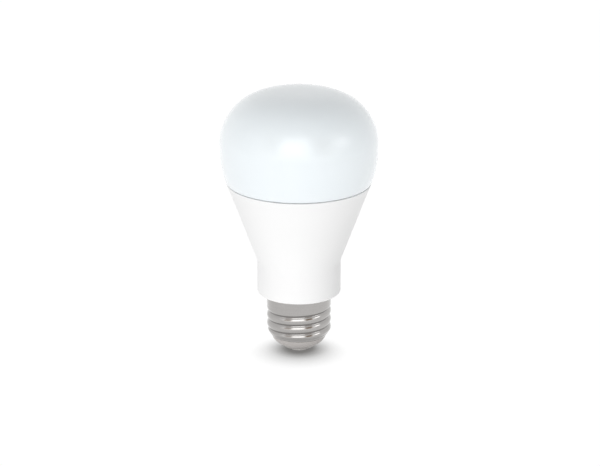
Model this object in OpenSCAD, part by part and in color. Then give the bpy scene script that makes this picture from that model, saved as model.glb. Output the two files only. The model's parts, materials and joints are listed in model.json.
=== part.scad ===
// Smart light bulb: a screw-cap LED lamp with a frosted dome, a moulded housing, a driver board
// and a radio board. The lamp stands cap down on its centre contact. The contact's flat tip is
// the origin and +Z runs up the axis of revolution.

/* [Envelope] */
// Largest diameter of the frosted dome
globe_d = 64; // [62:0.5:66]
// Height of the largest diameter above the tip of the centre contact
globe_z = 88.4; // [87:0.1:90]
// Height of the dome's top above the tip of the centre contact
overall_h = 109.6; // [108:0.1:112]
// How square the dome's outline is across its top
dome_square = 3.1; // [2.6:0.1:3.4]
// How square the dome's outline is down its side
dome_round = 1.8; // [1.7:0.1:2.2]

/* [Seam between dome and housing] */
// Height of the seam
seam_z = 71.8; // [71:0.1:73]
// Outside diameter at the seam
seam_d = 58.8; // [58:0.2:60]
// Width of the open seam line
seam_gap = 0.4; // [0.2:0.05:0.6]

/* [Housing] */
// Outside diameter of the straight neck
neck_d = 34.2; // [34:0.1:35]
// Height of the neck's flat shoulder, where the screw cap starts
shoulder_z = 24.6; // [24.4:0.1:25]
// Radius round the neck's lower edge
shoulder_fillet = 1.1; // [0.6:0.1:2]
// Half angle of the flared part
flare_angle = 20.4; // [20:0.1:21]
// Radius that blends the neck into the flare
flare_blend = 7; // [4:1:10]
// Wall thickness of the housing
housing_wall = 1.65; // [1.5:0.05:1.7]
// Wall thickness of the dome
dome_wall = 1.8; // [1.5:0.1:2]

/* [Screw cap] */
// Outside diameter over the thread's crests and the collar
thread_d = 26.3; // [26.1:0.05:26.4]
// Depth of the rolled thread
thread_depth = 0.75; // [0.7:0.01:0.85]
// Radius in the root of the rolled thread
thread_root_bend = 0.45; // [0.4:0.05:0.8]
// Pitch of the thread, seven turns to the inch
thread_pitch = 3.629; // [3.6:0.001:3.65]
// Sheet thickness of the screw shell
shell_wall = 0.3; // [0.25:0.05:0.35]
// Height of the lower end of the plain collar
collar_z = 19.4; // [19:0.1:20]
// Diameter of the centre contact
contact_d = 9.6; // [9:0.1:10]
// Diameter of the contact's flat tip
contact_flat_d = 8; // [7:0.1:8.4]

/* [Light board] */
// Diameter of the round light board
led_board_d = 48; // [47:0.5:48.5]
// Thickness of the light board
led_board_t = 1.6; // [1.4:0.1:1.6]
// Number of light emitters in the outer ring
outer_leds = 12; // [6:3:12]
// Number of light emitters in the inner ring
inner_leds = 6; // [3:3:6]
// Diameter of the outer ring of emitters
outer_ring_d = 37; // [36:0.5:38]
// Diameter of the inner ring of emitters
inner_ring_d = 23; // [22:0.5:24]

/* [Driver] */
// Thickness of the driver board
driver_board_t = 1.6; // [1.2:0.1:1.6]
// Height of the driver board's lower edge
driver_board_z = 11; // [10.8:0.1:11.5]
// Height of the driver board's upper edge
driver_board_top = 62; // [60:0.5:63]
// Width of the radio board
radio_board_w = 16; // [15:0.5:16]
// Height of the radio board's upper edge
radio_board_top = 85; // [82:0.5:88]

/* [Hidden] */
$fn = 64;

slip = 0.1;                 // clearance between parts that are pushed together
globe_r = globe_d / 2;
seam_r = seam_d / 2;
neck_r = neck_d / 2;
thread_r = thread_d / 2;
root_r = thread_r - thread_depth;

// ---- outlines of the outer skin ----
function flare_r(z) = seam_r + (z - seam_z) * tan(flare_angle);
function radial(wall) = wall / cos(flare_angle);
corner_z = seam_z - (seam_r - neck_r) / tan(flare_angle);   // where the flare would meet the neck
blend_run = flare_blend * tan(flare_angle / 2);             // from that corner to each tangent point

function arc(centre, r, from, to, steps) = [
    for (i = [0:steps]) let (a = from + (to - from) * i / steps) centre + r * [cos(a), sin(a)]
];

// The dome bulges out of the flare without a kink, and closes over the top in a superellipse.
bulge = tan(flare_angle) * (globe_z - seam_z) / (globe_r - seam_r);
dome_h = overall_h - globe_z;
dome_low = seam_z + seam_gap / 2;
function bulge_r(z) = globe_r - (globe_r - seam_r) * pow((globe_z - z) / (globe_z - seam_z), bulge);
dome_outline = concat(
    [for (i = [0:15]) let (z = dome_low + (globe_z - dome_low) * i / 16) [bulge_r(z), z]],
    [for (i = [0:36]) let (a = 90 * i / 36)
        [globe_r * pow(max(cos(a), 0), 2 / dome_square), globe_z + dome_h * pow(sin(a), 2 / dome_round)]]
);

// Moves an outline that climbs from the rim to the axis inwards by a wall thickness.
function inset(outline, wall) = [
    for (i = [0:len(outline) - 1]) let (
        last = i == len(outline) - 1,
        d = outline[min(i + 1, len(outline) - 1)] - outline[max(i - 1, 0)],
        n = last ? [0, -1] : [-d[1], d[0]] / norm(d)
    ) outline[i] + wall * n
];
function backwards(list) = [for (i = [len(list) - 1:-1:0]) list[i]];

// ---- heights and radii of the inner stack ----
rebate_r = 27.2;                        // recess in the housing's rim for the dome's skirt
rebate_z = 68.8;
skirt_r = rebate_r - slip;              // the dome's skirt
skirt_wall = 0.65;
skirt_z = 69.2;
spreader_z = 66.2;
spreader_t = 2;
spreader_r = 24.9;
pad_t = 0.3;
pad_z = spreader_z + spreader_t;
led_board_z = pad_z + pad_t;
led_top_z = led_board_z + led_board_t;
lid_z = 65;
lid_t = 1;
sleeve_low_z = 42;
sink_low_z = 41;
sink_wall = 1.3;
sink_ledge = 0.7;                       // inward ledge at the sink's foot, under the sleeve
sleeve_wall = 0.8;
function housing_in_r(z) = flare_r(z) - radial(housing_wall);
function sink_out_r(z) = housing_in_r(z) - slip;
function sink_in_r(z) = sink_out_r(z) - radial(sink_wall);
function sleeve_out_r(z) = sink_in_r(z) - slip;
function sleeve_in_r(z) = sleeve_out_r(z) - radial(sleeve_wall);

// ---- cap ----
spigot_r = 11.8;                        // the housing's tube inside the screw shell
spigot_in_r = 10.6;
spigot_z = 9.6;
spigot_band_r = thread_r - shell_wall - slip;
band_z = 20.6;
groove_w = 1.6;                         // channel in the spigot for the neutral wire
groove_x = 10.9;
shell_top_z = shoulder_z - 0.2;
lip_top_z = 7.6;
lip_z = 6.2;
lip_r = 11.3;
contact_r = contact_d / 2;
contact_seat_z = 1.5;                   // underside of the insulator round the contact
stem_r = 1.6;
stem_top_z = 7;

// ---- driver board: its front face looks along +Y ----
board_front_y = -4.4;
board_back_y = board_front_y - driver_board_t;
board_half_w = 12;
board_low_half_w = 8.4;
board_wide_z = 27;
guide_in_x = 11;                        // the housing's ribs that hold the driver board's edges
guide_slot_x = board_half_w + 0.3;
guide_out_x = neck_r - housing_wall - 0.2;
guide_lip = 1.6;                        // how far a rib reaches past the board's faces
guide_low_z = shoulder_z + housing_wall;
guide_top_z = 39.4;
lead_r = 0.3;
lead_hole_r = 0.45;
lead_tail = 1.2;                        // how far a lead stands out of the board's back

// Places of the driver board's parts, as [x, z] on its front face
fuse_at = [0, 14.2];
fuse_lead_pitch = 12;
choke_at = [-4.1, 20.6];
choke_r = 3.6;
choke_h = 8;
varistor_at = [4.4, 20.9];
varistor_r = 3.5;
varistor_t = 3.2;
input_cap_at = [-5.4, 28.6];
input_cap_r = 5;
input_cap_h = 10.6;
input_cap_leads = 2.5;                  // from a capacitor's middle to each of its leads
film_at = [5.2, 32.6];
film_size = [9.6, 7, 8.6];
transformer_at = [-4, 45.8];
core_size = [13, 5.8, 12];
core_leg = 3.2;
core_yoke = 2;
core_side = 1.9;
rectifier_at = [5.6, 30];
driver_chip_at = [-3, 36];
diode_at = [6.4, 46];
output_cap_at = [7.2, 40.4];
output_cap_r = 4;
output_cap_h = 11;
output_cap_leads = 1.75;
cap_lead_drop = 1.2;                    // from a capacitor's end to where its leads turn to the board
header_at = [0, 55];
header_pins = 6;
header_pitch = 2.54;
pin_w = 0.64;

radio_board_t = 1;
radio_board_z = 52.4;
radio_slot = [radio_board_w + 0.5, radio_board_t + 0.8];
wire_hole = [6.3, -11.5];
wire_hole_r = 1.9;
screw_ring_r = 20.5;
screw_turns = [90, 210, 330];
screw_r = 1.25;
screw_head_r = 2.1;
wire_r = 0.65;
bare_wire_r = 0.4;

led_size = [2.8, 3.5, 0.7];
outer_led_step = 360 / outer_leds;
inner_led_step = 360 / inner_leds;

// ---- shared shapes ----
module turned(outline) rotate_extrude() polygon(outline);

// A closed conical ring whose radii follow two functions' values at its ends
module cone_ring(low, high, out_low, out_high, in_low, in_high)
    turned([[in_low, low], [out_low, low], [out_high, high], [in_high, high]]);

// A box with its lower corner at the origin of its own place, centred in x
module block(x, y, z, size) translate([x - size[0] / 2, y, z]) cube(size);

// Along +Y from the driver board's front face
module off_board(at, y = board_front_y) translate([at[0], y, at[1]]) children();
module along_y(h, r) rotate([-90, 0, 0]) cylinder(h = h, r = r);

// A straight lead that goes through the driver board from height y in front of it
module lead(x, z, y) translate([x, board_back_y - lead_tail, z])
    along_y(y - board_back_y + lead_tail, lead_r);

// A round tube swept along a list of points, closed at both ends
function tangent(p, i) = let (d = p[min(i + 1, len(p) - 1)] - p[max(i - 1, 0)]) d / norm(d);
function side_of(t) = let (s = cross(t, abs(t[2]) < 0.9 ? [0, 0, 1] : [0, 1, 0])) s / norm(s);
module tube(p, r, sides = 8) {
    n = len(p);
    rings = [for (i = [0:n - 1], k = [0:sides - 1]) let (
        t = tangent(p, i), u = side_of(t), v = cross(t, u), a = 360 * k / sides
    ) p[i] + r * (cos(a) * u + sin(a) * v)];
    walls = [for (i = [0:n - 2], k = [0:sides - 1]) let (
        a = i * sides + k, b = i * sides + (k + 1) % sides
    ) each [[a, a + sides, b], [b, a + sides, b + sides]]];
    low = [for (k = [1:sides - 2]) [0, k, k + 1]];
    high = [for (k = [1:sides - 2]) [(n - 1) * sides, (n - 1) * sides + k + 1, (n - 1) * sides + k]];
    polyhedron(points = rings, faces = concat(walls, low, high));
}

// Points of a smooth route through a few chosen ones
function between(a, b, c, d, t) = 0.5 * (2 * b + (c - a) * t + (2 * a - 5 * b + 4 * c - d) * t * t
    + (3 * b - a - 3 * c + d) * t * t * t);
function route(p, steps = 3) = concat(
    [for (i = [0:len(p) - 2], s = [0:steps - 1])
        between(p[max(i - 1, 0)], p[i], p[i + 1], p[min(i + 2, len(p) - 1)], s / steps)],
    [p[len(p) - 1]]
);

// ---- dome ----
flange_z = 73.8;
module diffuser_dome() color("white") turned(concat(
    [[skirt_r, dome_low], [seam_r - 0.3, dome_low]],
    [for (p = dome_outline) if (p[1] > dome_low + 0.2) p],
    backwards([for (p = inset(dome_outline, dome_wall)) if (p[1] > flange_z) p]),
    [[skirt_r - skirt_wall, flange_z - 0.6], [skirt_r - skirt_wall, skirt_z], [skirt_r, skirt_z]]
));

module dome_sealant() color("gainsboro")
    cone_ring(rebate_z, skirt_z, skirt_r, skirt_r, skirt_r - skirt_wall, skirt_r - skirt_wall);

// ---- housing ----
module housing_skin() turned(concat(
    [[spigot_in_r, spigot_z], [spigot_r - 0.4, spigot_z], [spigot_r, spigot_z + 0.4],
        [spigot_r, band_z], [spigot_band_r, band_z], [spigot_band_r, shoulder_z]],
    arc([neck_r - shoulder_fillet, shoulder_z + shoulder_fillet], shoulder_fillet, -90, 0, 8),
    arc([neck_r + flare_blend, corner_z - blend_run], flare_blend, 180, 180 - flare_angle, 5),
    [[flare_r(seam_z - seam_gap / 2 - 0.3), seam_z - seam_gap / 2 - 0.3],
        [flare_r(seam_z) - 0.4, seam_z - seam_gap / 2], [rebate_r, seam_z - seam_gap / 2],
        [rebate_r, rebate_z], [housing_in_r(rebate_z), rebate_z],
        [housing_in_r(corner_z + 0.4), corner_z + 0.4],
        [neck_r - housing_wall, corner_z - 0.4], [neck_r - housing_wall, guide_low_z],
        [spigot_in_r, guide_low_z]]
));

module board_guide() difference() {
    translate([guide_in_x, board_back_y - guide_lip, guide_low_z - 0.5])
        cube([guide_out_x - guide_in_x, driver_board_t + 2 * guide_lip, guide_top_z - guide_low_z + 0.5]);
    translate([guide_in_x - 1, board_back_y - slip, guide_low_z - 1])
        cube([guide_slot_x - guide_in_x + 1, driver_board_t + 2 * slip, guide_top_z]);
}

module housing() color("white") difference() {
    union() {
        housing_skin();
        board_guide();
        mirror([1, 0, 0]) board_guide();
    }
    translate([groove_x, -groove_w / 2, spigot_z - 1]) cube([2, groove_w, 9]);
}

// ---- screw cap ----
// The rolled thread is a wide arc over its crest that runs into a tighter one in its root. It
// fades out over a third of a pitch at each end, into the collar above and the lip below.
half_pitch = thread_pitch / 2;
bends = (half_pitch * half_pitch + thread_depth * thread_depth) / (2 * thread_depth);
crest_bend = bends - thread_root_bend;
crest_half = crest_bend * half_pitch / bends;
crest_turn = 0.54;                      // the turn of the thread's crest, as a share of a pitch
fade_run = thread_pitch / 3;
collar_step = 0.08;                     // how far the thread's faded end stands inside the collar
function sag(r, x) = r - sqrt(r * r - x * x);
function wave(s) = let (u = abs(s - round(s)) * thread_pitch)
    u <= crest_half ? -sag(crest_bend, u) : sag(thread_root_bend, half_pitch - u) - thread_depth;
function faded(run) = max(0, min(1, run / fade_run));
function lip_curve(z) = lip_r + (root_r - lip_r) * pow((z - lip_z) / (lip_top_z - lip_z), 0.7);
function thread_curve(z, a) = let (
    high = faded(collar_z - z),
    low = faded(z - lip_top_z)
) thread_r - (1 - low) * thread_depth - (1 - high) * collar_step
    + low * high * wave(z / thread_pitch - a / 360 - crest_turn);
function shell_r(z, a) = z < lip_top_z ? lip_curve(z) : thread_curve(z, a);
shell_sides = 48;
shell_step = thread_pitch / 8;
shell_rows = concat(
    [lip_z, lip_z + 0.35, lip_z + 0.8],
    [for (z = [lip_top_z:shell_step:collar_z + 0.3]) z],
    [collar_z + 0.6]
);
module threaded_wall() {
    rows = len(shell_rows);
    top = rows - 1;
    n = shell_sides;
    skin = [for (w = [0, shell_wall], z = shell_rows, k = [0:n - 1]) let (
        a = 360 * k / n, r = shell_r(z, a) - w
    ) [r * cos(a), r * sin(a), z]];
    function at(side, row, k) = (side * rows + row) * n + k % n;
    outside = [for (j = [0:rows - 2], k = [0:n - 1])
        each [[at(0, j, k), at(0, j + 1, k), at(0, j, k + 1)],
            [at(0, j, k + 1), at(0, j + 1, k), at(0, j + 1, k + 1)]]];
    inside = [for (j = [0:rows - 2], k = [0:n - 1])
        each [[at(1, j, k), at(1, j, k + 1), at(1, j + 1, k)],
            [at(1, j, k + 1), at(1, j + 1, k + 1), at(1, j + 1, k)]]];
    ends = [for (k = [0:n - 1])
        each [[at(0, 0, k), at(0, 0, k + 1), at(1, 0, k)],
            [at(0, 0, k + 1), at(1, 0, k + 1), at(1, 0, k)],
            [at(0, top, k), at(1, top, k), at(0, top, k + 1)],
            [at(0, top, k + 1), at(1, top, k), at(1, top, k + 1)]]];
    polyhedron(points = skin, faces = concat(outside, inside, ends));
}
module collar() difference() {
    translate([0, 0, collar_z]) cylinder(h = shell_top_z - collar_z, r = thread_r);
    translate([0, 0, collar_z - 1]) cylinder(h = shell_top_z, r = thread_r - shell_wall);
}
module screw_shell() color("silver") {
    threaded_wall();
    collar();
}

// The insulator's cone flares from a flat foot round the contact up to the shell's lip
foot_r = contact_r + 1.2;
foot_z = 0.9;
throat_r = root_r - shell_wall - 0.35;
insulator_top_z = 8.2;
module base_insulator() color("darkgray") turned([
    [stem_r + 0.05, contact_seat_z], [contact_r + slip, contact_seat_z], [contact_r + slip, foot_z],
    [foot_r, foot_z], [7.1, 1.7], [9.9, 3.7], [10.9, 5.1], [lip_r, lip_z - 0.05],
    [lip_r - shell_wall - 0.1, lip_z - 0.05], [throat_r, lip_top_z],
    [throat_r, insulator_top_z], [3, insulator_top_z], [stem_r + 0.05, insulator_top_z - 0.8]
]);

module centre_contact() color("silver") turned([
    [0, 0], [contact_flat_d / 2, 0], [contact_r - 0.2, 0.25], [contact_r, 0.55],
    [contact_r, contact_seat_z], [stem_r, contact_seat_z], [stem_r, stem_top_z - 0.5],
    [stem_r - 0.5, stem_top_z], [0, stem_top_z]
]);

// ---- heat path ----
ledge_r = sink_in_r(sink_low_z) - sink_ledge;
ledge_z = sleeve_low_z - slip;
module heat_sink() color("lightgray") turned([
    [ledge_r, sink_low_z], [sink_out_r(sink_low_z), sink_low_z], [sink_out_r(spreader_z), spreader_z],
    [sink_in_r(spreader_z), spreader_z], [sink_in_r(ledge_z), ledge_z], [ledge_r, ledge_z]
]);

module stack_holes(low, high, screw_hole_r) {
    h = high - low + 2;
    translate([0, 0, low - 1]) {
        block(0, -radio_slot[1] / 2, 0, [radio_slot[0], radio_slot[1], h]);
        translate(wire_hole) cylinder(h = h, r = wire_hole_r);
        for (a = screw_turns) rotate(a) translate([screw_ring_r, 0, 0]) cylinder(h = h, r = screw_hole_r);
    }
}
module disc(z, t, r, screw_hole_r) difference() {
    translate([0, 0, z]) cylinder(h = t, r = r);
    stack_holes(z, z + t, screw_hole_r);
}
module heat_spreader() color("lightgray") disc(spreader_z, spreader_t, spreader_r, screw_r + 0.02);
module thermal_pad() color("lightsteelblue") disc(pad_z, pad_t, led_board_d / 2 - 1, screw_r + 0.4);

module insulating_sleeve() color("whitesmoke") cone_ring(sleeve_low_z, lid_z,
    sleeve_out_r(sleeve_low_z), sleeve_out_r(lid_z), sleeve_in_r(sleeve_low_z), sleeve_in_r(lid_z));

module driver_lid() color("whitesmoke") difference() {
    translate([0, 0, lid_z]) cylinder(h = lid_t, r = sleeve_out_r(lid_z) - 0.4);
    stack_holes(lid_z, lid_z + lid_t, screw_r + 0.6);
}

// ---- light board ----
module led_board() color("white") disc(led_board_z, led_board_t, led_board_d / 2, screw_r + 0.2);

module led_ring(count, ring_d, turn) for (i = [0:count - 1])
    rotate(turn + i * 360 / count) translate([ring_d / 2, 0, led_top_z]) children();
module led_package() difference() {
    translate([-led_size[0] / 2, -led_size[1] / 2, 0]) cube(led_size);
    translate([0, 0, led_size[2] - 0.15]) cylinder(h = 1, r1 = 1.1, r2 = 1.5);
}
module led_packages() color("khaki") {
    led_ring(outer_leds, outer_ring_d, outer_led_step / 2) led_package();
    led_ring(inner_leds, inner_ring_d, inner_led_step / 2) led_package();
}

module led_board_screws() color("silver") for (a = screw_turns)
    rotate(a) translate([screw_ring_r, 0, 0]) difference() {
        union() {
            translate([0, 0, spreader_z - 0.4]) cylinder(h = led_top_z - spreader_z + 0.6, r = screw_r);
            translate([0, 0, led_top_z]) cylinder(h = 1.3, r = screw_head_r);
        }
        for (turn = [0, 90]) rotate(turn) translate([-1.2, -0.25, led_top_z + 0.6]) cube([2.4, 0.5, 2]);
    }

module led_connector() color("ivory") difference() {
    block(wire_hole[0], wire_hole[1] - 2.5, led_top_z, [7, 5, 3.2]);
    for (side = [-1, 1]) {
        translate([wire_hole[0] + side * 0.9, wire_hole[1], led_top_z - 1])
            cylinder(h = 3.4, r = wire_r + slip);
        block(wire_hole[0] + side * 2.4, wire_hole[1] + 1.2, led_top_z + 2.2, [1.2, 2, 2]);
    }
}

module led_board_thermistor() color("dimgray") block(-6.3, -12.3, led_top_z, [1.6, 0.8, 0.6]);

// ---- radio ----
module header_places() for (i = [0:header_pins - 1])
    translate([(i - (header_pins - 1) / 2) * header_pitch, 0, header_at[1]]) children();

module radio_board() color("seagreen") difference() {
    block(0, -radio_board_t / 2, radio_board_z,
        [radio_board_w, radio_board_t, radio_board_top - radio_board_z]);
    header_places() translate([0, -2, 0]) along_y(4, 0.5);
}

shield_z = 57.4;
shield_size = [12, 2.2, 6.8];
shield_wall = 0.25;
module radio_shield() color("silver") difference() {
    block(0, radio_board_t / 2, shield_z, shield_size);
    block(0, radio_board_t / 2 - 1, shield_z + shield_wall,
        shield_size + [-2 * shield_wall, 1 - shield_wall, -2 * shield_wall]);
}
module radio_chip() color("dimgray") block(-1.8, radio_board_t / 2, shield_z + 1, [4.8, 0.9, 4.8]);
module radio_crystal() color("silver") block(3.4, radio_board_t / 2, shield_z + 1.6, [2.5, 0.8, 3.2]);

antenna_z = led_top_z + 3.6;
feed_z = shield_z + shield_size[2] + 1.4;
antenna_rows = 4;
antenna_pitch = 2.4;
trace_w = 0.9;
trace_t = 0.1;
antenna_w = 12;
module trace(x, z, w, h) translate([x, radio_board_t / 2, z]) cube([w, trace_t, h]);
module radio_antenna() color("peru") {
    trace(-antenna_w / 2, feed_z, trace_w, antenna_z - feed_z + trace_w);
    for (i = [0:antenna_rows - 1]) {
        z = antenna_z + antenna_pitch * i;
        turn_x = i % 2 == 0 ? antenna_w / 2 - trace_w : -antenna_w / 2;
        trace(-antenna_w / 2, z, antenna_w, trace_w);
        if (i < antenna_rows - 1)
            trace(turn_x, z, trace_w, antenna_pitch + trace_w);
    }
}

module radio_header() color("dimgray") difference() {
    block(0, board_front_y, header_at[1] - header_pitch / 2,
        [header_pins * header_pitch, 2.5, header_pitch]);
    header_places() translate([0, board_front_y - 1, 0]) along_y(5, 0.5);
}
pin_low_y = board_back_y - lead_tail;
pin_high_y = radio_board_t / 2 + 1.4;
module radio_header_pins() color("gold") header_places()
    block(0, pin_low_y, -pin_w / 2, [pin_w, pin_high_y - pin_low_y, pin_w]);

// ---- driver board and its parts ----
cap_leads = [for (c = [[input_cap_at, input_cap_leads], [output_cap_at, output_cap_leads]], s = [-1, 1])
    [c[0][0] + s * c[1], c[0][1] - cap_lead_drop]];
film_leads = [for (s = [-1, 1]) [film_at[0] + s * 3.75, film_at[1]]];
fuse_leads = [for (s = [-1, 1]) [fuse_at[0] + s * fuse_lead_pitch / 2, fuse_at[1]]];
choke_leads = [for (s = [-1, 1]) [choke_at[0], choke_at[1] + s * 2.5]];
varistor_leads = [for (s = [-1, 1]) [varistor_at[0] + 0.6 * s, varistor_at[1] + s * 2.5]];
transformer_pins = [for (s = [-1, 1], k = [-1, 0, 1])
    [transformer_at[0] + k * 4, transformer_at[1] + s * 4.9]];
wire_pads = [[-5, 12.2], [5, 12.2], [5.2, 60.4], [7.4, 60.4]];
lead_holes = concat(cap_leads, film_leads, fuse_leads, choke_leads, varistor_leads, transformer_pins);
board_corner = 2;
board_half_outline = [[board_low_half_w, driver_board_z], [board_low_half_w, board_wide_z],
    [board_half_w, board_wide_z], [board_half_w, driver_board_top - board_corner],
    [board_half_w - board_corner, driver_board_top]];

module driver_board() color("seagreen") difference() {
    translate([0, board_front_y, 0]) rotate([90, 0, 0]) linear_extrude(driver_board_t)
        polygon(concat(board_half_outline, [for (p = backwards(board_half_outline)) [-p[0], p[1]]]));
    for (p = lead_holes) translate([p[0], board_back_y - 1, p[1]]) along_y(driver_board_t + 2, lead_hole_r);
    for (p = wire_pads) translate([p[0], board_back_y - 1, p[1]]) along_y(driver_board_t + 2, wire_r + 0.1);
    header_places() translate([0, board_back_y - 1, 0]) along_y(driver_board_t + 2, 0.5);
}

fuse_r = 1.6;
fuse_h = 7.6;
fuse_y = board_front_y + fuse_r + 0.4;
module fuse_resistor() color("steelblue") {
    translate([fuse_at[0] - fuse_h / 2, fuse_y, fuse_at[1]]) rotate([0, 90, 0]) {
        cylinder(h = fuse_h, r = fuse_r - 0.2);
        cylinder(h = 1.6, r = fuse_r);
        translate([0, 0, fuse_h - 1.6]) cylinder(h = 1.6, r = fuse_r);
    }
    for (p = fuse_leads) lead(p[0], p[1], fuse_y + lead_r);
    translate([fuse_at[0] - fuse_lead_pitch / 2, fuse_y, fuse_at[1]]) rotate([0, 90, 0])
        cylinder(h = fuse_lead_pitch, r = lead_r);
}

module varistor() color("royalblue") {
    off_board(varistor_at, board_front_y + 1) along_y(varistor_t, varistor_r);
    for (p = varistor_leads) lead(p[0], p[1], board_front_y + 1.5);
}

// A ferrite drum that stands off the board, with wire between its two flanges
module noise_choke_core() color("dimgray") off_board(choke_at, board_front_y + 0.3) {
    along_y(choke_h, choke_r - 1.6);
    along_y(1.2, choke_r);
    translate([0, choke_h - 1.2, 0]) along_y(1.2, choke_r);
}
module noise_choke_winding() color("peru") {
    off_board(choke_at, board_front_y + 0.3 + 1.2) difference() {
        along_y(choke_h - 2.4, choke_r - 0.4);
        translate([0, -1, 0]) along_y(choke_h, choke_r - 1.6);
    }
}

module bridge_rectifier() color("dimgray") {
    off_board(rectifier_at, board_back_y - 2.5) translate([-2.4, 0, -2]) cube([4.8, 2.4, 4]);
    for (sx = [-1, 1], sz = [-1, 1]) off_board(rectifier_at, board_back_y - 0.25)
        translate([sx * 1.25 - 0.4, 0, sz * 2.5 - 0.6]) cube([0.8, 0.2, 1.2]);
}

// An electrolytic can on its side: sleeve, crimped neck, scored top and two leads that turn down
module round_capacitor(at, r, h, lead_half_pitch) {
    y = board_front_y + r + 0.15;
    translate([at[0], y, at[1]]) difference() {
        turned([[0, 0], [r - 0.5, 0], [r, 0.4], [r, 1.6], [r - 0.5, 2], [r - 0.5, 2.4], [r, 2.8],
            [r, h - 0.5], [r - 0.5, h], [0, h]]);
        for (turn = [45, 135]) rotate(turn) translate([-r * 0.6, -0.15, h - 0.2]) cube([r * 1.2, 0.3, 1]);
    }
    for (s = [-1, 1]) {
        x = at[0] + s * lead_half_pitch;
        translate([x, y, at[1] - cap_lead_drop]) cylinder(h = cap_lead_drop + 0.2, r = lead_r);
        lead(x, at[1] - cap_lead_drop, y + lead_r);
    }
}
module input_capacitor() color("darkslategray")
    round_capacitor(input_cap_at, input_cap_r, input_cap_h, input_cap_leads);
module output_capacitor() color("darkslategray")
    round_capacitor(output_cap_at, output_cap_r, output_cap_h, output_cap_leads);

module film_capacitor() color("gold") {
    block(film_at[0], board_front_y + 0.3, film_at[1] - film_size[2] / 2, film_size);
    for (p = film_leads) lead(p[0], p[1], board_front_y + 0.4);
}

// Two E-shaped ferrite halves close round a bobbin whose axis is along z. In this group's own
// places, y counts from the underside of the core's yokes and z from the core's middle.
window_w = (core_size[0] - core_leg) / 2 - core_side;
window_h = core_size[2] - 2 * core_yoke;
bobbin_wall = 0.6;
tube_w = core_leg + 0.2 + 2 * bobbin_wall;
tube_h = core_size[1] + 0.2 + 2 * bobbin_wall;
winding_t = 1.8;
winding_z = window_h / 2 - 0.2 - bobbin_wall;
rail_y = 3.4;                           // from the board's face to the yokes
module at_transformer() off_board(transformer_at, board_front_y + rail_y) children();
module centred(size, y = core_size[1] / 2)
    translate([-size[0] / 2, y - size[1] / 2, -size[2] / 2]) cube(size);

module transformer_core() color("dimgray") at_transformer() difference() {
    centred(core_size);
    for (s = [-1, 1]) translate([s * (core_leg + window_w) / 2, 0, 0]) centred([window_w, 20, window_h]);
}
module transformer_bobbin() color("black") at_transformer() {
    difference() {
        union() {
            centred([tube_w, tube_h, window_h - 0.4]);
            for (s = [-1, 1]) translate([0, 0, s * (winding_z + bobbin_wall / 2)])
                centred([tube_w + 2 * winding_t + 0.4, tube_h + 2 * winding_t + 0.4, bobbin_wall]);
            for (s = [-1, 1]) translate([0, 0, s * 4.7])
                centred([10, rail_y - 0.3, 2.7], -rail_y / 2 + 0.05);
        }
        centred([core_leg + 0.2, core_size[1] + 0.2, core_size[2] + 2]);
        transformer_pin_places() along_y(6, lead_r);
    }
}
module transformer_pin_places() for (p = transformer_pins)
    translate([p[0] - transformer_at[0], -7.6, p[1] - transformer_at[1]]) children();
module transformer_pins() color("silver") at_transformer() transformer_pin_places() along_y(6, lead_r);
module transformer_winding() color("goldenrod") at_transformer() difference() {
    centred([tube_w + 2 * winding_t, tube_h + 2 * winding_t, 2 * winding_z]);
    centred([tube_w, tube_h, window_h]);
}

module driver_chip() color("dimgray") {
    off_board(driver_chip_at, board_back_y - 1.6) translate([-2, 0, -2.5]) cube([4, 1.5, 5]);
    for (s = [-1, 1], k = [-1.5:1:1.5]) off_board(driver_chip_at, board_back_y - 0.3)
        translate([s * 2.5 - 0.5, 0, k * 1.27 - 0.2]) cube([1, 0.2, 0.4]);
}
module output_diode() color("dimgray") {
    off_board(diode_at, board_back_y - 2.2) translate([-1.3, 0, -2.2]) cube([2.6, 2.1, 4.4]);
    for (s = [-1, 1]) off_board(diode_at, board_back_y - 0.3)
        translate([-0.7, 0, s * 2.5 - 0.6]) cube([1.4, 0.2, 1.2]);
}

// Chip parts on the board's back, as [x, z]
chip_resistor_places = [[-6.8, 24], [-3.4, 24], [0, 22], [-8, 31], [-8, 34], [2.4, 34.6], [2.4, 37],
    [2.4, 39.4], [-9.6, 42.4], [0, 43], [-9, 47]];
chip_capacitor_places = [[-5, 30.4], [-1.5, 30.4], [3.4, 42.4], [-9, 37.4], [-3, 48.6], [1, 59.2],
    [-4, 59.2]];
module chip(place, size) off_board(place, board_back_y - size[1] - 0.05)
    translate([-size[0] / 2, 0, -size[2] / 2]) cube(size);
module chip_resistors() color("black") for (p = chip_resistor_places) chip(p, [2, 0.5, 1.25]);
module chip_capacitors() color("tan") for (p = chip_capacitor_places) chip(p, [2, 0.9, 1.25]);

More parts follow.
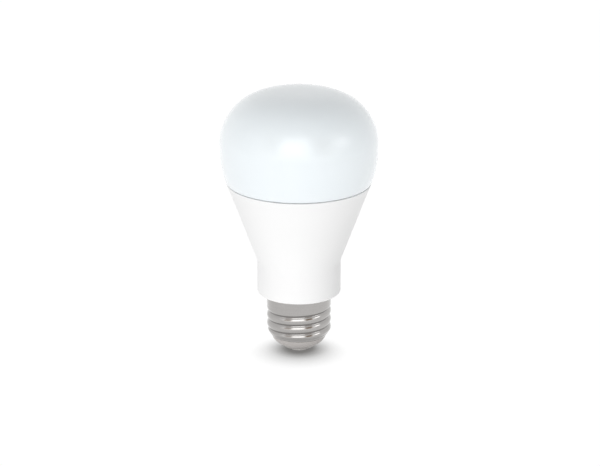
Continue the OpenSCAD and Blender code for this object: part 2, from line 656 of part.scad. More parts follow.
// ---- wires ----
led_wire_route = [[0, 60.4, board_back_y - 1.4], [0.1, 62, -9.4], [0.2, 64.4, -11.3],
    [0.2, 67, wire_hole[1]], [0.2, led_top_z + 2, wire_hole[1]]];
module led_wire(pad, dir) tube(route(concat(
    [[pad[0], board_front_y + 0.8, pad[1]]],
    [for (p = led_wire_route) [pad[0] + dir * p[0], p[2], p[1]]])), wire_r);
module led_wire_positive() color("firebrick") led_wire(wire_pads[2], 1);
module led_wire_negative() color("black") led_wire(wire_pads[3], -1);
module live_wire() color("firebrick") tube(route([
    [wire_pads[0][0], board_back_y - 0.8, wire_pads[0][1]],
    [wire_pads[0][0], board_front_y + 0.6, wire_pads[0][1]],
    [-3.6, -2.2, 11.4], [-0.8, -0.4, 10.6], [0, 0, 9.4], [0, 0, stem_top_z + 0.2]]), wire_r);
module neutral_wire() color("white") tube(route([
    [wire_pads[1][0], board_back_y - 0.8, wire_pads[1][1]],
    [5.1, board_front_y + 0.6, wire_pads[1][1]], [6.4, -2, 10.6], [8.6, -0.6, 8.9],
    [10.6, -0.1, 8.8], [11.45, 0, 9.9], [11.45, 0, 12], [11.45, 0, 16]]), bare_wire_r);

diffuser_dome();
dome_sealant();
housing();
screw_shell();
base_insulator();
centre_contact();
heat_sink();
heat_spreader();
insulating_sleeve();
driver_lid();
thermal_pad();
led_board();
led_packages();
led_board_screws();
led_connector();
led_board_thermistor();
radio_board();
radio_shield();
radio_chip();
radio_crystal();
radio_antenna();
radio_header();
radio_header_pins();
driver_board();
fuse_resistor();
varistor();
noise_choke_core();
noise_choke_winding();
bridge_rectifier();
input_capacitor();
output_capacitor();
film_capacitor();
transformer_core();
transformer_bobbin();
transformer_pins();
transformer_winding();
driver_chip();
output_diode();
chip_resistors();
chip_capacitors();
led_wire_positive();
led_wire_negative();
live_wire();
neutral_wire();
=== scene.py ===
"""Dresses a screw-cap LED light bulb: smooth skins, fine inner parts, finishes and a studio.
Lengths are in metres. The bulb stands on its tip at the origin, and +Z runs up its axis."""
import json
import math

import bmesh
import bpy
from mathutils import Matrix, Vector


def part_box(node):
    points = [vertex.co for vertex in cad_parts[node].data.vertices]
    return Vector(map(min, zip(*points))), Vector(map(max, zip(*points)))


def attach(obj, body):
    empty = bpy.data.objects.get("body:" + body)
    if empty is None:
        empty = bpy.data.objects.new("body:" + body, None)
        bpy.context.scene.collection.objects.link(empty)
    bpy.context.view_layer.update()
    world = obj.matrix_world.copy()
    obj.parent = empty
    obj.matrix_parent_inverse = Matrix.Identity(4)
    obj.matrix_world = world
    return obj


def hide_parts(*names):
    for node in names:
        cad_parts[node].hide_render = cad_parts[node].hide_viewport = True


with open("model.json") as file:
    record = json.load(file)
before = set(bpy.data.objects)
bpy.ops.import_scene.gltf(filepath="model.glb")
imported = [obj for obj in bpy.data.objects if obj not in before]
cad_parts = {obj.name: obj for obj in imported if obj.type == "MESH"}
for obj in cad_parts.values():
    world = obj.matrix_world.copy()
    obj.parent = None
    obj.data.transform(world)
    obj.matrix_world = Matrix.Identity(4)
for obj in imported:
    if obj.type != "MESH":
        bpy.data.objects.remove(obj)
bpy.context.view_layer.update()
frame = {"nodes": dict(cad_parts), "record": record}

bl_info = {
    "name": "Screw-Cap Light Bulb",
    "version": (1, 0, 0),
    "blender": (4, 5, 0),
    "location": "View3D > Sidebar > Light Bulb",
    "description": "Builds the skins, finishes and studio of a screw-cap LED bulb round its packed model",
    "category": "Object",
}

MM = 0.001
ON_AXIS = 1e-7
SKIN_SEGMENTS, THREAD_SEGMENTS, CONE_SEGMENTS, TIP_SEGMENTS, TABLE_SEGMENTS = 192, 168, 160, 128, 96
DOME_LOW, DOME_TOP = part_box("diffuser_dome")
BODY_LOW, BODY_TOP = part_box("housing")
SHELL_LOW, SHELL_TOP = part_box("screw_shell")
SEAL_LOW, SEAL_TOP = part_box("base_insulator")
TIP_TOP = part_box("centre_contact")[1]
LED_LOW, LED_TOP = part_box("led_packages")
CHOKE_LOW, CHOKE_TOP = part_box("noise_choke_winding")
WRAP_LOW, WRAP_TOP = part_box("transformer_winding")


# ---- settings a user would change ----
def length(name, description, default):
    """A length property."""
    return bpy.props.FloatProperty(
        name=name, description=description, default=default, unit="LENGTH", min=0.0, precision=5)


def colour(name, description, default):
    """A colour property."""
    return bpy.props.FloatVectorProperty(
        name=name, description=description, default=default, subtype="COLOR", size=3, min=0.0, max=1.0)


class DomeSettings(bpy.types.PropertyGroup):
    """Sizes and colour of the frosted dome"""
    widest_z: length("Widest height", "Height of the largest diameter above the tip", 88.4 * MM)
    wall: length("Wall", "Wall thickness of the dome", 1.8 * MM)
    seam_gap: length("Seam gap", "Height of the open line between dome and body", 0.4 * MM)
    skirt_wall: length("Skirt wall", "Thickness of the skirt that sits in the body's rim", 0.65 * MM)
    square: bpy.props.FloatProperty(
        name="Squareness", description="How square the outline is across its top", default=3.1)
    round: bpy.props.FloatProperty(
        name="Roundness", description="How square the outline is down its side", default=1.8)
    tint: colour("Tint", "Colour of the frosted plastic", (0.82, 0.872, 0.9))


class BodySettings(bpy.types.PropertyGroup):
    """Sizes and colour of the moulded body"""
    seam_radius: length("Seam radius", "Outside radius at the seam", 29.4 * MM)
    neck_radius: length("Neck radius", "Outside radius of the straight neck", 17.1 * MM)
    shoulder_z: length("Shoulder height", "Height of the flat shoulder over the cap", 24.6 * MM)
    shoulder_fillet: length("Shoulder radius", "Radius round the neck's lower edge", 1.1 * MM)
    blend: length("Blend radius", "Radius between neck and flare", 7 * MM)
    wall: length("Wall", "Wall thickness", 1.65 * MM)
    flare: bpy.props.FloatProperty(
        name="Flare", description="Half angle of the flared part", default=math.radians(20.4),
        subtype="ANGLE", unit="ROTATION")
    tint: colour("Tint", "Colour of the moulded body", (0.885, 0.885, 0.885))


class CapSettings(bpy.types.PropertyGroup):
    """Sizes and colours of the screw cap"""
    pitch: length("Pitch", "Pitch of the rolled thread", 3.629 * MM)
    depth: length("Depth", "Depth of the rolled thread", 0.75 * MM)
    root_bend: length("Root radius", "Radius in the bottom of the rolled thread", 0.45 * MM)
    sheet: length("Sheet", "Thickness of the metal sheet", 0.3 * MM)
    collar_z: length("Collar height", "Lower end of the plain collar", 19.4 * MM)
    lip_radius: length("Lip radius", "Radius of the turned-in lower lip", 11.3 * MM)
    crest_turn: bpy.props.FloatProperty(
        name="Crest turn", description="Turn of the thread's crest, as a share of a pitch", default=0.54)
    nickel: colour("Nickel", "Colour of the satin plating", (0.40, 0.389, 0.38))
    moulding: colour("Insulator", "Colour of the cap's insulating cone", (0.455, 0.43, 0.415))


class StudioSettings(bpy.types.PropertyGroup):
    """Camera and lights"""
    distance: length("Camera distance", "Distance from the camera to the bulb", 1.0)
    pivot: length("Pivot height", "Height that the camera's distance is taken from", 57 * MM)
    aim_x: bpy.props.FloatProperty(name="Aim sideways", description="Where the camera looks, along X",
                                   default=0.43 * MM, unit="LENGTH", precision=5)
    aim_z: length("Aim height", "Where the camera looks, above the tip", 49.63 * MM)
    elevation: bpy.props.FloatProperty(
        name="Elevation", description="Camera's height above the horizon", default=math.radians(18.52),
        subtype="ANGLE", unit="ROTATION")
    lens: bpy.props.FloatProperty(name="Lens", description="Focal length in millimetres", default=147.6)
    key_power: bpy.props.FloatProperty(name="Key power", description="Front softbox, in watts", default=5.2)
    side_power: bpy.props.FloatProperty(name="Side power", description="Right softbox, in watts", default=0.8)
    table_glow: bpy.props.FloatProperty(
        name="Table glow", description="Light that the white table gives off", default=1.12)


# ---- meshes ----
def finish_mesh(name, bm, sharp=math.radians(38)):
    """Turns a bmesh into a shaded object, with hard edges only where the surface turns sharply."""
    bmesh.ops.recalc_face_normals(bm, faces=bm.faces)
    for face in bm.faces:
        face.smooth = True
    for edge in bm.edges:
        edge.smooth = len(edge.link_faces) == 2 and edge.calc_face_angle(0.0) < sharp
    mesh = bpy.data.meshes.new(name)
    bm.to_mesh(mesh)
    bm.free()
    piece = bpy.data.objects.new(name, mesh)
    bpy.context.scene.collection.objects.link(piece)
    return piece


def spun(bm, outline, segments, closed=False):
    """Turns an outline of (radius, height) points about Z. A point on the axis becomes one vertex."""
    rings = []
    for radius, height in outline:
        if radius < ON_AXIS:
            rings.append([bm.verts.new((0.0, 0.0, height))] * segments)
            continue
        rings.append([bm.verts.new((radius * math.cos(turn), radius * math.sin(turn), height))
                      for turn in (2 * math.pi * k / segments for k in range(segments))])
    stitch(bm, rings, closed)


def stitch(bm, rings, closed=False):
    """Joins each ring of vertices to the next, and the last to the first where the outline is closed."""
    count = len(rings[0])
    pairs = list(zip(rings, rings[1:])) + ([(rings[-1], rings[0])] if closed else [])
    for low, high in pairs:
        for k in range(count):
            corners = list(dict.fromkeys((low[k], low[(k + 1) % count], high[(k + 1) % count], high[k])))
            if len(corners) > 2:
                bm.faces.new(corners)


def wavy_ring(bm, height, radius, count):
    """A ring of vertices whose radius is a function of the turn, from 0 to 1."""
    return [bm.verts.new((radius(k / count) * math.cos(2 * math.pi * k / count),
                          radius(k / count) * math.sin(2 * math.pi * k / count), height))
            for k in range(count)]


def arc(centre, radius, start, end, steps):
    """Points along an arc, from one angle in degrees to another."""
    turns = [math.radians(start + (end - start) * i / steps) for i in range(steps + 1)]
    return [(centre[0] + radius * math.cos(t), centre[1] + radius * math.sin(t)) for t in turns]


def rounded(outline, radius, steps=4):
    """Rounds every corner of a closed outline by at most the given radius."""
    points = []
    for before, corner, after in zip(outline[-1:] + outline[:-1], outline, outline[1:] + outline[:1]):
        here = Vector(corner)
        back, ahead = Vector(before) - here, Vector(after) - here
        reach = min(radius, 0.4 * back.length, 0.4 * ahead.length)
        start, end = here + back.normalized() * reach, here + ahead.normalized() * reach
        for i in range(steps + 1):
            t = i / steps
            points.append(tuple((1 - t) ** 2 * start + 2 * t * (1 - t) * here + t * t * end))
    return points


def inward(outline, wall):
    """The outline moved to its left by a wall thickness."""
    moved = []
    for i, point in enumerate(outline):
        ahead = Vector(outline[min(i + 1, len(outline) - 1)]) - Vector(outline[max(i - 1, 0)])
        across = Vector((-ahead.y, ahead.x)).normalized()
        if point[0] < ON_AXIS:
            across = Vector((0.0, -1.0))
        moved.append(tuple(Vector(point) + wall * across))
    return moved


def soft_square(half_x, half_y, count, power=7.0):
    """Points round a rectangle with soft corners. A power of 2 gives an ellipse."""
    points = []
    for k in range(count):
        across, up = math.cos(2 * math.pi * (k + 0.5) / count), math.sin(2 * math.pi * (k + 0.5) / count)
        points.append((math.copysign(half_x * abs(across) ** (2 / power), across),
                       math.copysign(half_y * abs(up) ** (2 / power), up)))
    return points


def level(bm, points, height, place=Matrix()):
    """A ring of vertices at one height."""
    return [bm.verts.new(place @ Vector((x, y, height))) for x, y in points]


def box_tool(name, low, high):
    """A plain block, used only to cut or thicken a piece."""
    bm = bmesh.new()
    low, high = Vector(low), Vector(high)
    bmesh.ops.create_cube(bm, size=1.0)
    bm.transform(Matrix.LocRotScale((low + high) / 2, None, high - low))
    return finish_mesh(name, bm)


def combine(piece, tool, operation):
    """Applies an exact boolean and removes the tool."""
    modifier = piece.modifiers.new(operation, "BOOLEAN")
    modifier.operation = operation
    modifier.solver = "EXACT"
    modifier.object = tool
    graph = bpy.context.evaluated_depsgraph_get()
    solid = bpy.data.meshes.new_from_object(piece.evaluated_get(graph))
    piece.modifiers.clear()
    piece.data = solid
    bpy.data.objects.remove(tool)


def dress(piece, material, slot, *nodes):
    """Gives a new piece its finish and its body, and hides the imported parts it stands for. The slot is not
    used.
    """
    piece.data.materials.clear()
    piece.data.materials.append(material)
    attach(piece, "root")
    if nodes:
        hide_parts(*nodes)


# ---- shading ----
def feed(tree, socket, value):
    """Links an input to another node's output, or sets its plain value."""
    if isinstance(value, bpy.types.NodeSocket):
        tree.links.new(value, socket)
    else:
        socket.default_value = value


def add(tree, kind, inputs=None, **settings):
    """Adds a node, sets its options, then its plain or linked inputs."""
    node = tree.nodes.new(kind)
    for name, value in settings.items():
        setattr(node, name, value)
    for name, value in (inputs or {}).items():
        feed(tree, node.inputs[name], value)
    return node


def shaded(tint, share=1.0):
    """A colour with its alpha, darker or lighter by a share."""
    return (*(c * share for c in tint), 1.0)


def shader_group(name, inputs, outputs):
    """An empty node group with named sockets. Returns it with its input and output nodes."""
    tree = bpy.data.node_groups.new(name, "ShaderNodeTree")
    for label, kind, value in inputs:
        socket = tree.interface.new_socket(label, in_out="INPUT", socket_type=kind)
        socket.default_value = value
    for label, kind in outputs:
        tree.interface.new_socket(label, in_out="OUTPUT", socket_type=kind)
    return tree, add(tree, "NodeGroupInput"), add(tree, "NodeGroupOutput")


def mixed(tree, factor, first, second):
    """A colour mixed between two others. The Mix node's colours are its sockets 6 and 7."""
    node = add(tree, "ShaderNodeMix", data_type="RGBA")
    for socket, value in ((0, factor), (6, first), (7, second)):
        feed(tree, node.inputs[socket], value)
    return node.outputs[2]


def ranged(tree, value, low, high, to_low=0.0, to_high=1.0):
    """A value moved from one range to another, held at its ends."""
    return add(tree, "ShaderNodeMapRange", {
        "Value": value, "From Min": low, "From Max": high, "To Min": to_low, "To Max": to_high}).outputs[0]


def sums(tree, operation, first, second=0.0):
    """The result of a sum on one or two values."""
    return add(tree, "ShaderNodeMath", {0: first, 1: second}, operation=operation).outputs[0]


def flattened(tree, place):
    """A position without its height, and its distance from the Z axis."""
    flat = add(tree, "ShaderNodeVectorMath", {0: place, 1: (1.0, 1.0, 0.0)}, operation="MULTIPLY").outputs[0]
    return flat, add(tree, "ShaderNodeVectorMath", {0: flat}, operation="LENGTH").outputs["Value"]


def moulded_grain():
    """Shared: fine moulding texture, cloudy colour and gloss, as on any moulded or coated surface."""
    name = "Moulded grain"
    if name in bpy.data.node_groups:
        return bpy.data.node_groups[name]
    tree, source, result = shader_group(name, [
        ("Colour", "NodeSocketColor", (0.8, 0.8, 0.8, 1.0)),
        ("Cloud Colour", "NodeSocketColor", (0.75, 0.75, 0.75, 1.0)),
        ("Grain Scale", "NodeSocketFloat", 4000.0),
        ("Cloud Scale", "NodeSocketFloat", 60.0),
        ("Glossy Roughness", "NodeSocketFloat", 0.3),
        ("Dull Roughness", "NodeSocketFloat", 0.4),
    ], [("Color", "NodeSocketColor"), ("Roughness", "NodeSocketFloat"), ("Height", "NodeSocketFloat")])
    place = add(tree, "ShaderNodeTexCoord").outputs["Object"]
    grain = add(tree, "ShaderNodeTexNoise", {
        "Vector": place, "Scale": source.outputs["Grain Scale"], "Detail": 3.0, "Roughness": 0.6})
    cloud = add(tree, "ShaderNodeTexNoise", {
        "Vector": place, "Scale": source.outputs["Cloud Scale"], "Detail": 4.0, "Roughness": 0.55})
    soft = ranged(tree, cloud.outputs["Fac"], 0.3, 0.7)
    speck = ranged(tree, grain.outputs["Fac"], 0.35, 0.65)
    share = sums(tree, "ADD", sums(tree, "MULTIPLY", soft, 0.7), sums(tree, "MULTIPLY", speck, 0.3))
    tree.links.new(mixed(tree, share, source.outputs["Colour"], source.outputs["Cloud Colour"]),
                   result.inputs["Color"])
    rough = add(tree, "ShaderNodeMapRange", {
        "Value": share, "To Min": source.outputs["Glossy Roughness"],
        "To Max": source.outputs["Dull Roughness"]})
    tree.links.new(rough.outputs[0], result.inputs["Roughness"])
    tree.links.new(grain.outputs["Fac"], result.inputs["Height"])
    return tree


def turning_marks():
    """Shared: fine lines that run round the Z axis, as left by rolling, turning or spinning."""
    name = "Turning marks"
    if name in bpy.data.node_groups:
        return bpy.data.node_groups[name]
    tree, source, result = shader_group(name, [
        ("Colour", "NodeSocketColor", (0.7, 0.7, 0.7, 1.0)),
        ("Line Colour", "NodeSocketColor", (0.6, 0.6, 0.6, 1.0)),
        ("Line Scale", "NodeSocketFloat", 6000.0),
        ("Fine Roughness", "NodeSocketFloat", 0.2),
        ("Coarse Roughness", "NodeSocketFloat", 0.35),
    ], [("Color", "NodeSocketColor"), ("Roughness", "NodeSocketFloat"), ("Height", "NodeSocketFloat")])
    place = add(tree, "ShaderNodeTexCoord").outputs["Object"]
    height = add(tree, "ShaderNodeSeparateXYZ", {"Vector": place}).outputs["Z"]
    flat, radius = flattened(tree, place)
    unit = add(tree, "ShaderNodeVectorMath", {0: flat}, operation="NORMALIZE").outputs[0]
    swept = add(tree, "ShaderNodeVectorMath", {0: unit, 1: (1.2, 1.2, 1.2)}, operation="MULTIPLY")
    sweep = add(tree, "ShaderNodeSeparateXYZ", {"Vector": swept.outputs[0]})
    across = sums(tree, "MULTIPLY", sums(tree, "ADD", radius, height), source.outputs["Line Scale"])
    lines_at = add(tree, "ShaderNodeCombineXYZ", {
        "X": sweep.outputs["X"], "Y": sweep.outputs["Y"], "Z": across})
    lines = add(tree, "ShaderNodeTexNoise", {
        "Vector": lines_at.outputs[0], "Scale": 1.0, "Detail": 3.0, "Roughness": 0.7})
    haze = add(tree, "ShaderNodeTexNoise", {"Vector": place, "Scale": 140.0, "Detail": 3.0})
    line = ranged(tree, lines.outputs["Fac"], 0.35, 0.7)
    cloud = ranged(tree, haze.outputs["Fac"], 0.35, 0.65)
    share = sums(tree, "ADD", sums(tree, "MULTIPLY", line, 0.6), sums(tree, "MULTIPLY", cloud, 0.4))
    tree.links.new(mixed(tree, share, source.outputs["Colour"], source.outputs["Line Colour"]),
                   result.inputs["Color"])
    rough = add(tree, "ShaderNodeMapRange", {
        "Value": share, "To Min": source.outputs["Fine Roughness"],
        "To Max": source.outputs["Coarse Roughness"]})
    tree.links.new(rough.outputs[0], result.inputs["Roughness"])
    tree.links.new(lines.outputs["Fac"], result.inputs["Height"])
    return tree


def edge_rub():
    """Shared: a mask of the outer edges that handling has polished, broken up by noise."""
    name = "Edge rub"
    if name in bpy.data.node_groups:
        return bpy.data.node_groups[name]
    tree, source, result = shader_group(
        name, [("Scale", "NodeSocketFloat", 900.0), ("Reach", "NodeSocketFloat", 0.06)],
        [("Rub", "NodeSocketFloat")])
    geometry = add(tree, "ShaderNodeNewGeometry")
    limit = sums(tree, "ADD", source.outputs["Reach"], 0.5)
    edge = add(tree, "ShaderNodeMapRange", {
        "Value": geometry.outputs["Pointiness"], "From Min": 0.505, "From Max": limit})
    place = add(tree, "ShaderNodeTexCoord").outputs["Object"]
    noise = add(tree, "ShaderNodeTexNoise", {
        "Vector": place, "Scale": source.outputs["Scale"], "Detail": 2.0})
    tree.links.new(sums(tree, "MULTIPLY", edge.outputs[0], ranged(tree, noise.outputs["Fac"], 0.3, 0.6)),
                   result.inputs["Rub"])
    return tree


def new_material(name, **plain):
    """A material with a Principled shader whose plain values are given by name."""
    material = bpy.data.materials.new(name)
    material.use_nodes = True
    tree = material.node_tree
    tree.nodes.clear()
    shader = add(tree, "ShaderNodeBsdfPrincipled", plain)
    add(tree, "ShaderNodeOutputMaterial", {"Surface": shader.outputs[0]})
    return material, tree, shader


def bump(tree, shader, height, distance):
    """Fine relief of a given depth."""
    raised = add(tree, "ShaderNodeBump", {"Height": height, "Distance": distance})
    tree.links.new(raised.outputs[0], shader.inputs["Normal"])


def moulded(name, tint, rough=(0.3, 0.42), grain=4000.0, depth=2e-6, cloud=0.95, **plain):
    """Moulded plastic, rubber, lacquer or solder mask."""
    material, tree, shader = new_material(name, **plain)
    group = add(tree, "ShaderNodeGroup", node_tree=moulded_grain(), inputs={
        "Colour": shaded(tint), "Cloud Colour": shaded(tint, cloud), "Grain Scale": grain,
        "Glossy Roughness": rough[0], "Dull Roughness": rough[1]})
    tree.links.new(group.outputs["Color"], shader.inputs["Base Color"])
    tree.links.new(group.outputs["Roughness"], shader.inputs["Roughness"])
    bump(tree, shader, group.outputs["Height"], depth)
    return material


def metal(name, tint, rough=(0.2, 0.35), lines=6000.0, depth=1.5e-6, shade=0.85, rub=1.25, **plain):
    """Rolled, turned or plated metal, brighter where its edges are rubbed."""
    material, tree, shader = new_material(name, Metallic=1.0, **plain)
    group = add(tree, "ShaderNodeGroup", node_tree=turning_marks(), inputs={
        "Colour": shaded(tint), "Line Colour": shaded(tint, shade), "Line Scale": lines,
        "Fine Roughness": rough[0], "Coarse Roughness": rough[1]})
    edges = add(tree, "ShaderNodeGroup", node_tree=edge_rub())
    bright = shaded([min(1.0, c * rub) for c in tint])
    tree.links.new(mixed(tree, edges.outputs["Rub"], group.outputs["Color"], bright),
                   shader.inputs["Base Color"])
    tree.links.new(group.outputs["Roughness"], shader.inputs["Roughness"])
    bump(tree, shader, group.outputs["Height"], depth)
    return material


# ---- outer skins ----
def flare_radius(body, height):
    """Outside radius of the flared part at a height."""
    seam_z = BODY_TOP.z + bpy.context.scene.bulb_dome.seam_gap / 2
    return body.seam_radius + (height - seam_z) * math.tan(body.flare)


def dome_outline(dome, body):
    """The dome's outer outline from the seam to the top: a bulge that leaves the flare without a kink,
    then a superellipse."""
    radius, top = DOME_TOP.x, DOME_TOP.z
    seam_z = BODY_TOP.z + dome.seam_gap / 2
    low = BODY_TOP.z + dome.seam_gap
    rise, crown = dome.widest_z - seam_z, top - dome.widest_z
    swell = radius - body.seam_radius
    power = math.tan(body.flare) * rise / swell
    bulge_steps, side_steps, crown_steps, side = 24, 36, 48, 0.62
    points = []
    for i in range(bulge_steps):
        height = low + (dome.widest_z - low) * i / bulge_steps
        points.append((radius - swell * ((dome.widest_z - height) / rise) ** power, height))
    for i in range(side_steps):
        share = side * i / side_steps
        reach = radius * (1 - share ** dome.round) ** (1 / dome.square)
        points.append((reach, dome.widest_z + crown * share))
    edge = (1 - side ** dome.round) ** (1 / dome.square)
    for i in range(crown_steps + 1):
        share = edge * (1 - i / crown_steps)
        climb = crown * (1 - share ** dome.square) ** (1 / dome.round)
        points.append((radius * share, dome.widest_z + climb))
    return points


class BULB_OT_frosted_dome(bpy.types.Operator):
    """Build the frosted dome with its skirt"""
    bl_idname = "bulb.frosted_dome"
    bl_label = "Frosted dome"

    def execute(self, context):
        dome, body = context.scene.bulb_dome, context.scene.bulb_body
        outer = dome_outline(dome, body)
        skirt = BODY_TOP.x - 2.1 * MM
        flange_z = 73.8 * MM
        inner = [p for p in inward(outer, dome.wall) if p[1] > flange_z]
        low_r, low_z = outer[0]
        lip = 0.3 * MM
        foot = [(skirt - dome.skirt_wall, flange_z - 0.6 * MM), (skirt - dome.skirt_wall, DOME_LOW.z),
                (skirt, DOME_LOW.z), (skirt, low_z), (low_r - lip, low_z)]
        edge = arc((low_r - lip, low_z + lip), lip, -90, 0, 5)[1:]
        bm = bmesh.new()
        skin = [p for p in outer if p[1] > low_z + lip * 1.2]
        spun(bm, foot + edge + skin + inner[::-1], SKIN_SEGMENTS, closed=True)
        piece = finish_mesh("frosted_dome", bm)
        dress(piece, frosted_plastic(dome.tint), "frosted_dome", "diffuser_dome")
        return {"FINISHED"}


def frosted_plastic(tint):
    """Milky plastic with a satin skin: a little light travels through it."""
    material, tree, shader = new_material("Frosted plastic", **{
        "IOR": 1.52, "Subsurface Weight": 0.12, "Subsurface Scale": 0.0025,
        "Subsurface Radius": (1.0, 1.0, 1.0), "Coat Weight": 1.0, "Coat Roughness": 0.22})
    group = add(tree, "ShaderNodeGroup", node_tree=moulded_grain(), inputs={
        "Colour": shaded(tint), "Cloud Colour": shaded(tint, 0.985), "Grain Scale": 5200.0,
        "Cloud Scale": 45.0, "Glossy Roughness": 0.36, "Dull Roughness": 0.44})
    tree.links.new(group.outputs["Color"], shader.inputs["Base Color"])
    tree.links.new(group.outputs["Roughness"], shader.inputs["Roughness"])
    bump(tree, shader, group.outputs["Height"], 1.2e-6)
    return material


class BULB_OT_moulded_body(bpy.types.Operator):
    """Build the flared white body with its inner tube and board guides"""
    bl_idname = "bulb.moulded_body"
    bl_label = "Moulded body"

    def execute(self, context):
        dome, body = context.scene.bulb_dome, context.scene.bulb_body
        shoulder, neck, fillet = body.shoulder_z, body.neck_radius, body.shoulder_fillet
        seam_z = BODY_TOP.z + dome.seam_gap / 2
        corner_z = seam_z - (body.seam_radius - neck) / math.tan(body.flare)
        run = body.blend * math.tan(body.flare / 2)
        wall_in = body.wall / math.cos(body.flare)
        tube_r, tube_in, band_r, band_z = 11.8 * MM, 10.6 * MM, 12.75 * MM, 20.6 * MM
        rebate_r, rebate_z, lip = 27.2 * MM, 68.8 * MM, 0.3 * MM
        floor_z = shoulder + body.wall

        def inside(height):
            return flare_radius(body, height) - wall_in

        flare_steps = [corner_z + run + (BODY_TOP.z - lip - corner_z - run) * i / 10 for i in range(11)]
        outline = [(tube_in, BODY_LOW.z), (tube_r - 0.4 * MM, BODY_LOW.z), (tube_r, BODY_LOW.z + 0.4 * MM),
                   (tube_r, band_z), (band_r, band_z), (band_r, shoulder)]
        outline += arc((neck - fillet, shoulder + fillet), fillet, -90, 0, 14)
        outline += arc((neck + body.blend, corner_z - run), body.blend,
                       180, 180 - math.degrees(body.flare), 12)
        outline += [(flare_radius(body, z), z) for z in flare_steps[1:]]
        outline += arc((flare_radius(body, BODY_TOP.z) - lip, BODY_TOP.z - lip), lip, 0, 90, 5)
        outline += [(rebate_r, BODY_TOP.z), (rebate_r, rebate_z), (inside(rebate_z), rebate_z),
                    (inside(corner_z + 0.4 * MM), corner_z + 0.4 * MM),
                    (neck - body.wall, corner_z - 0.4 * MM), (neck - body.wall, floor_z), (tube_in, floor_z)]
        bm = bmesh.new()
        spun(bm, outline, SKIN_SEGMENTS, closed=True)
        piece = finish_mesh("moulded_body", bm)
        board_low, board_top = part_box("driver_board")
        slip, guide_in, guide_top = 0.1 * MM, 11 * MM, 39.4 * MM
        for side in (-1, 1):
            ends = sorted((side * guide_in, side * (neck - body.wall - 0.2 * MM)))
            combine(piece, box_tool("rib", (ends[0], board_low.y - 1.6 * MM, floor_z - 0.5 * MM),
                                    (ends[1], board_top.y + 1.6 * MM, guide_top)), "UNION")
            ends = sorted((side * (guide_in - 1 * MM), side * (board_top.x + 0.3 * MM)))
            combine(piece, box_tool("slot", (ends[0], board_low.y - slip, floor_z),
                                    (ends[1], board_top.y + slip, guide_top + 1 * MM)), "DIFFERENCE")
        combine(piece, box_tool("groove", (10.9 * MM, -0.8 * MM, BODY_LOW.z - 1 * MM),
                                (12.9 * MM, 0.8 * MM, BODY_LOW.z + 8 * MM)), "DIFFERENCE")
        dress(piece, moulded("Satin white moulding", body.tint, rough=(0.34, 0.42), grain=5200.0, depth=9e-7,
                             cloud=0.985, **{"Specular IOR Level": 0.3}), "white_housing", "housing")
        return {"FINISHED"}


def thread_wave(cap, turns):
    """The rolled thread's depth: a wide arc over the crest that runs into a tighter one in the root."""
    half = cap.pitch / 2
    bends = (half ** 2 + cap.depth ** 2) / (2 * cap.depth)
    crest_bend = bends - cap.root_bend
    off = abs(turns - round(turns)) * cap.pitch
    if off <= crest_bend * half / bends:
        return math.sqrt(crest_bend ** 2 - off ** 2) - crest_bend
    return cap.root_bend - math.sqrt(cap.root_bend ** 2 - (half - off) ** 2) - cap.depth


class BULB_OT_rolled_shell(bpy.types.Operator):
    """Build the screw shell with its rolled thread and plain collar"""
    bl_idname = "bulb.rolled_shell"
    bl_label = "Rolled screw shell"

    def execute(self, context):
        cap = context.scene.bulb_cap
        crest = SHELL_TOP.x
        root = crest - cap.depth
        lip_top = 7.6 * MM
        fade = cap.pitch / 3

        def radius(height, turn):
            if height < lip_top:
                share = max(0.0, (height - SHELL_LOW.z) / (lip_top - SHELL_LOW.z))
                return cap.lip_radius + (root - cap.lip_radius) * share ** 0.7
            low = min(1.0, (height - lip_top) / fade)
            high = max(0.0, min(1.0, (cap.collar_z - height) / fade))
            wave = thread_wave(cap, height / cap.pitch - turn - cap.crest_turn)
            return crest - (1 - low) * cap.depth + low * high * wave

        lip_rows, rows, collar_rows = 8, 66, 6
        heights = [SHELL_LOW.z + (lip_top - SHELL_LOW.z) * i / lip_rows for i in range(lip_rows)]
        heights += [lip_top + (cap.collar_z - lip_top) * i / rows for i in range(rows + 1)]
        heights += [cap.collar_z + (SHELL_TOP.z - cap.collar_z) * i / collar_rows
                    for i in range(1, collar_rows + 1)]

        def wall(inset):
            return [wavy_ring(bm, z, lambda turn: radius(z, turn) - inset, THREAD_SEGMENTS)
                    for z in heights]

        bm = bmesh.new()
        stitch(bm, wall(0.0) + wall(cap.sheet)[::-1], closed=True)
        piece = finish_mesh("rolled_shell", bm, sharp=math.radians(60))
        dress(piece, rolled_nickel(cap, root, crest), "nickel_shell", "screw_shell")
        return {"FINISHED"}


def rolled_nickel(cap, root, crest):
    """Satin nickel with turning marks, with painted shade that darkens its colour near the root of the
    thread.
    """
    material, tree, shader = new_material("Rolled nickel", Metallic=1.0)
    group = add(tree, "ShaderNodeGroup", node_tree=turning_marks(), inputs={
        "Colour": shaded(cap.nickel), "Line Colour": shaded(cap.nickel, 0.9), "Line Scale": 5000.0,
        "Fine Roughness": 0.13, "Coarse Roughness": 0.2})
    place = add(tree, "ShaderNodeTexCoord").outputs["Object"]
    # Painted shade: a band round the thread's root radius gets a darker colour, standing in for the shade
    # down in the grooves.
    off_root = sums(tree, "ABSOLUTE", sums(tree, "SUBTRACT", flattened(tree, place)[1], root))
    painted_root_shade = ranged(tree, off_root, 0.0, 0.05 * (crest - root), 1.0, 0.0)
    dark = mixed(tree, painted_root_shade, group.outputs["Color"], shaded(cap.nickel, 0.3))
    tree.links.new(dark, shader.inputs["Base Color"])
    tree.links.new(group.outputs["Roughness"], shader.inputs["Roughness"])
    bump(tree, shader, group.outputs["Height"], 1e-6)
    return material


